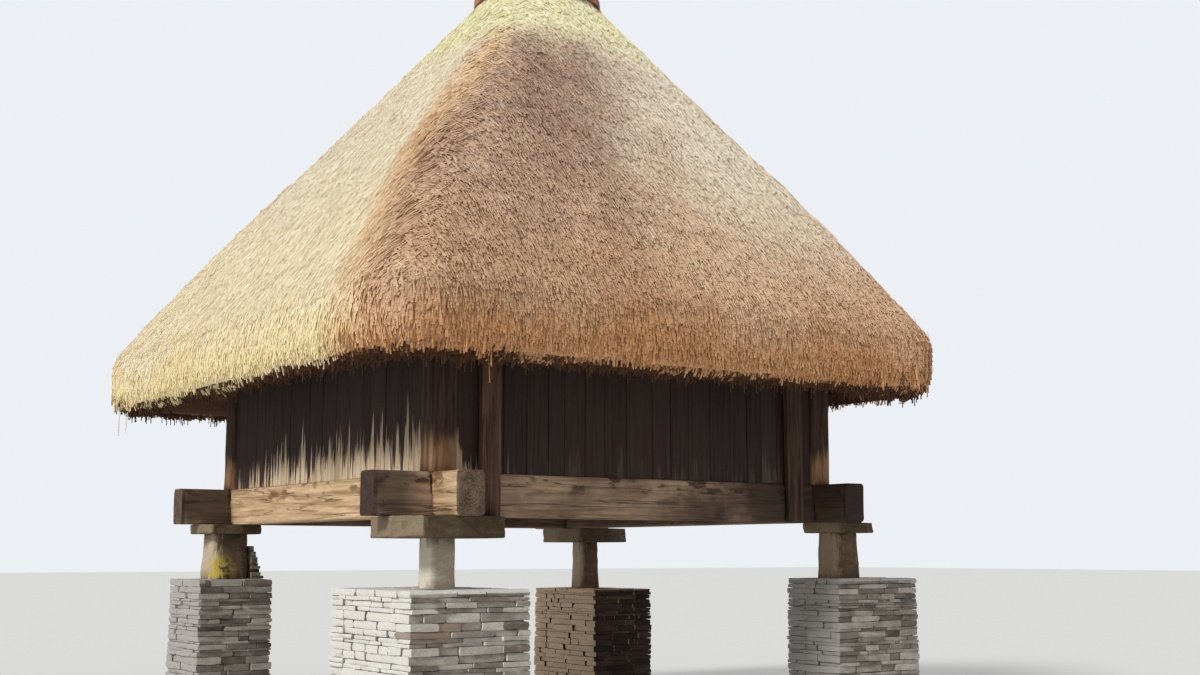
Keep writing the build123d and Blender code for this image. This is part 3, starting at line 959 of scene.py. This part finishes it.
def packing(draw, finish):
    """Small flat stones heaped against the right of the back left post, on top of its pier."""
    post_low, post_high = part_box("back_left_staddle_post")
    pier_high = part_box("back_left_pier")[1]
    room = pier_high.x - 0.02 - post_high.x
    shape = bmesh.new()
    level = post_low.z
    for i in range(packing_courses):
        rise = draw.uniform(*packing_rise)
        reach = room * (1 - i / packing_courses)
        place = post_low.y + draw.uniform(0.0, packing_margin)
        while place < post_high.y - packing_margin:
            width = draw.uniform(*packing_width)
            low = Vector((post_high.x - 0.012 + draw.uniform(0, 0.01), place, level))
            right = post_high.x + reach * draw.uniform(0.8, 1.0)
            high = Vector((right, place + width - 0.004, level + rise))
            lay_stone(shape, draw, low, high)
            place += width
        level += rise
    bask(shape)
    set_down(shape, "packing_stones", finish, "dry_stone", smooth=False)


def substructure():
    """Piers, staddle posts and slabs."""
    draw = random.Random(5)
    bright = [
        (0.25, tint(112, 102, 92)),
        (0.45, tint(160, 151, 139)),
        (0.62, tint(200, 192, 180)),
        (0.80, tint(232, 224, 210)),
    ]
    grey = [
        (0.25, tint(100, 90, 80)),
        (0.45, tint(142, 132, 121)),
        (0.62, tint(180, 171, 160)),
        (0.80, tint(214, 205, 192)),
    ]
    shaded = [
        (0.25, tint(98, 78, 62)),
        (0.45, tint(138, 114, 94)),
        (0.62, tint(176, 148, 124)),
        (0.80, tint(212, 184, 156)),
    ]
    tan = [
        (0.3, tint(108, 88, 70)),
        (0.5, tint(142, 120, 97)),
        (0.7, tint(174, 154, 128)),
    ]
    pale = [
        (0.3, tint(200, 184, 162)),
        (0.5, tint(232, 220, 200)),
        (0.7, tint(250, 242, 228)),
    ]
    schist = stone_finish("schist", grey, tint(194, 189, 182))
    # Lit and shaded copies of the schist: painted sunlight on the front left pier, painted shade on the
    # back right one
    stones = {
        "front_left": stone_finish("sunlit schist", bright, tint(255, 251, 240)),
        "back_right": stone_finish("shaded schist", shaded, tint(255, 226, 190), painted_shade=tint(34, 24, 23)),
    }
    for name in crossings:
        pier(name, draw, stones.get(name, schist))
        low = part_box(f"{name}_staddle_post")[0]
        lichen = (low.x + 0.06, low.y, low.z + 0.06) if name == "back_left" else None
        # Paler colours on the front left post are painted sunlight, darker ones on the front right post
        # painted shade
        stops, sunlit_colour = tan, tint(222, 202, 174)
        if name == "front_left":
            stops, sunlit_colour = pale, tint(255, 244, 222)
        elif name == "front_right":
            sunlit_colour = tint(196, 170, 140)
        granite = stone_finish(f"{name} post stone", stops, sunlit_colour, lichen)
        shape = worn_copy(f"{name}_staddle_post", "staddle_post")
        set_down(shape, f"{name}_post_stone", granite, "granite", f"{name}_staddle_post")
    slab = stone_finish("slab stone", [
        (0.3, tint(90, 75, 56)),
        (0.5, tint(128, 111, 86)),
        (0.75, tint(172, 153, 126)),
    ], tint(164, 145, 118))
    packing(draw, stone_finish("packing stone", [
        (0.3, tint(70, 65, 54)),
        (0.5, tint(104, 98, 84)),
        (0.75, tint(146, 139, 122)),
    ], tint(156, 148, 130)))
    for name in crossings:
        shape = worn_copy(f"{name}_staddle_slab", "staddle_slab")
        set_down(shape, f"{name}_slab_stone", slab, "slate_slab", f"{name}_staddle_slab")


# Timber

def board_run(name, node, draw, finish):
    """Upright boards side by side in place of one wall."""
    low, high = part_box(node)
    axis = 0 if high.x - low.x > high.y - low.y else 1
    shape = bmesh.new()
    place = low[axis]
    while place < high[axis] - 0.01:
        width = draw.uniform(*board_width)
        if high[axis] - place - width < board_width[0]:
            width = high[axis] - place
        corner_low, corner_high = low.copy(), high.copy()
        corner_low[axis] = place + board_gap / 2
        corner_high[axis] = place + width - board_gap / 2
        shift = draw.uniform(0, board_set)
        corner_low[1 - axis] += shift if corner_low[1 - axis] < 0 else 0
        corner_high[1 - axis] -= shift if corner_high[1 - axis] > 0 else 0
        board = block(corner_low, corner_high)
        tone = board.verts.layers.float.new("tone")
        score(board, board_cuts, "z")
        corners = [edge for edge in board.edges if edge.is_boundary or edge.calc_face_angle(0) > 1]
        bmesh.ops.bevel(
            board, geom=corners, offset=board_edge, segments=1, profile=0.5, affect="EDGES", material=-1,
        )
        shade = draw.random()
        for vert in board.verts:
            vert[tone] = shade
        lay_once(shape, board)
        place += width
    set_down(shape, name, finish, "dark_boards", node)


def timber():
    """Walls, door, sills, floor, posts, battens and the frame under the roof."""
    draw = random.Random(23)
    boards = board_finish()
    for node in ("front_wall", "left_wall", "right_wall", "back_wall_left", "back_wall_right"):
        board_run(f"{node}_boards", node, draw, boards)
    board_run("door_boards", "door_leaf", draw, boards)
    for side in sides:
        shape = worn_copy(f"{side}_sill", "sill")
        set_down(shape, f"{side}_sill_beam", sill_finish(side), "hewn_oak", f"{side}_sill")
    dark = {
        axis: timber_finish(f"dark oak {axis}", axis, tint(48, 34, 28), tint(92, 70, 56))
        for axis in range(3)
    }
    batten = timber_finish("batten oak", 2, tint(70, 48, 40), tint(112, 84, 68))
    pole = timber_finish("peeled pole", 2, tint(88, 66, 46), tint(140, 112, 82))
    for side in sides:
        axis = 0 if side in ("front", "back") else 1
        paint(f"{side}_plate", dark[axis])
        paint(f"{side}_rafters", pole)
    posts = post_finish()
    for name in crossings:
        shape = worn_copy(f"{name}_corner_post", "corner_post")
        set_down(shape, f"{name}_corner_timber", posts, "oak_post", f"{name}_corner_post")
        paint(f"{name}_hip", pole)
    for name, finish in (("left", batten), ("right", dark[2])):
        shape = worn_copy(f"front_batten_{name}", "batten")
        set_down(shape, f"front_batten_{name}_timber", finish, "batten_oak", f"front_batten_{name}")
    paint("king_block", pole)
    paint("door_jambs", dark[2])
    paint("floor_joists", dark[1])
    paint("floor_boards", dark[1])


def paint(node, finish):
    """Give a node of the frame its finish."""
    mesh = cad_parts[node].data
    mesh.materials.clear()
    mesh.materials.append(finish)


def cap():
    """Clay cap on the peak."""
    shape = worn_copy("peak_cap", "cap")
    set_down(shape, "clay_cap", clay_finish(), "clay_cap", "peak_cap")


# Studio

def studio():
    """Pale floor and sky, a soft key light from the left and a camera before the front left corner."""
    floor = bmesh.new()
    bmesh.ops.create_grid(floor, x_segments=1, y_segments=1, size=floor_reach)
    ground = Finish("floor", roughness=1.0, gloss=0.0)
    ground.shader.inputs["Base Color"].default_value = tint(214, 212, 208)
    mesh = as_mesh(floor, "floor")
    mesh.materials.append(ground.material)
    plane = bpy.data.objects.new("floor", mesh)
    bpy.context.collection.objects.link(plane)

    world = bpy.data.worlds.new("studio")
    bpy.context.scene.world = world
    world.use_nodes = True
    tree = world.node_tree
    background = tree.nodes["Background"]
    background.inputs["Color"].default_value = tint(236, 240, 245)
    rays = tree.nodes.new("ShaderNodeLightPath")
    strength = tree.nodes.new("ShaderNodeMapRange")
    strength.inputs["To Min"].default_value = sky_light
    strength.inputs["To Max"].default_value = sky_seen
    tree.links.new(rays.outputs["Is Camera Ray"], strength.inputs["Value"])
    tree.links.new(strength.outputs["Result"], background.inputs["Strength"])

    for name, (source, power, spread) in lamps.items():
        lamp = bpy.data.lights.new(name, "SUN")
        lamp.energy = power
        lamp.angle = math.radians(spread)
        light = bpy.data.objects.new(name, lamp)
        light.rotation_euler = source.to_track_quat("Z", "Y").to_euler()
        bpy.context.collection.objects.link(light)

    camera_data = bpy.data.cameras.new("camera")
    camera_data.sensor_width = camera_sensor
    camera_data.lens = camera_lens
    camera = bpy.data.objects.new("camera", camera_data)
    camera.location = camera_place
    camera.rotation_euler = (math.radians(90 + camera_pitch), 0, math.radians(-camera_yaw))
    bpy.context.collection.objects.link(camera)
    bpy.context.scene.camera = camera
    bpy.context.scene.view_settings.view_transform = "Standard"


thatch()
substructure()
timber()
cap()
studio()
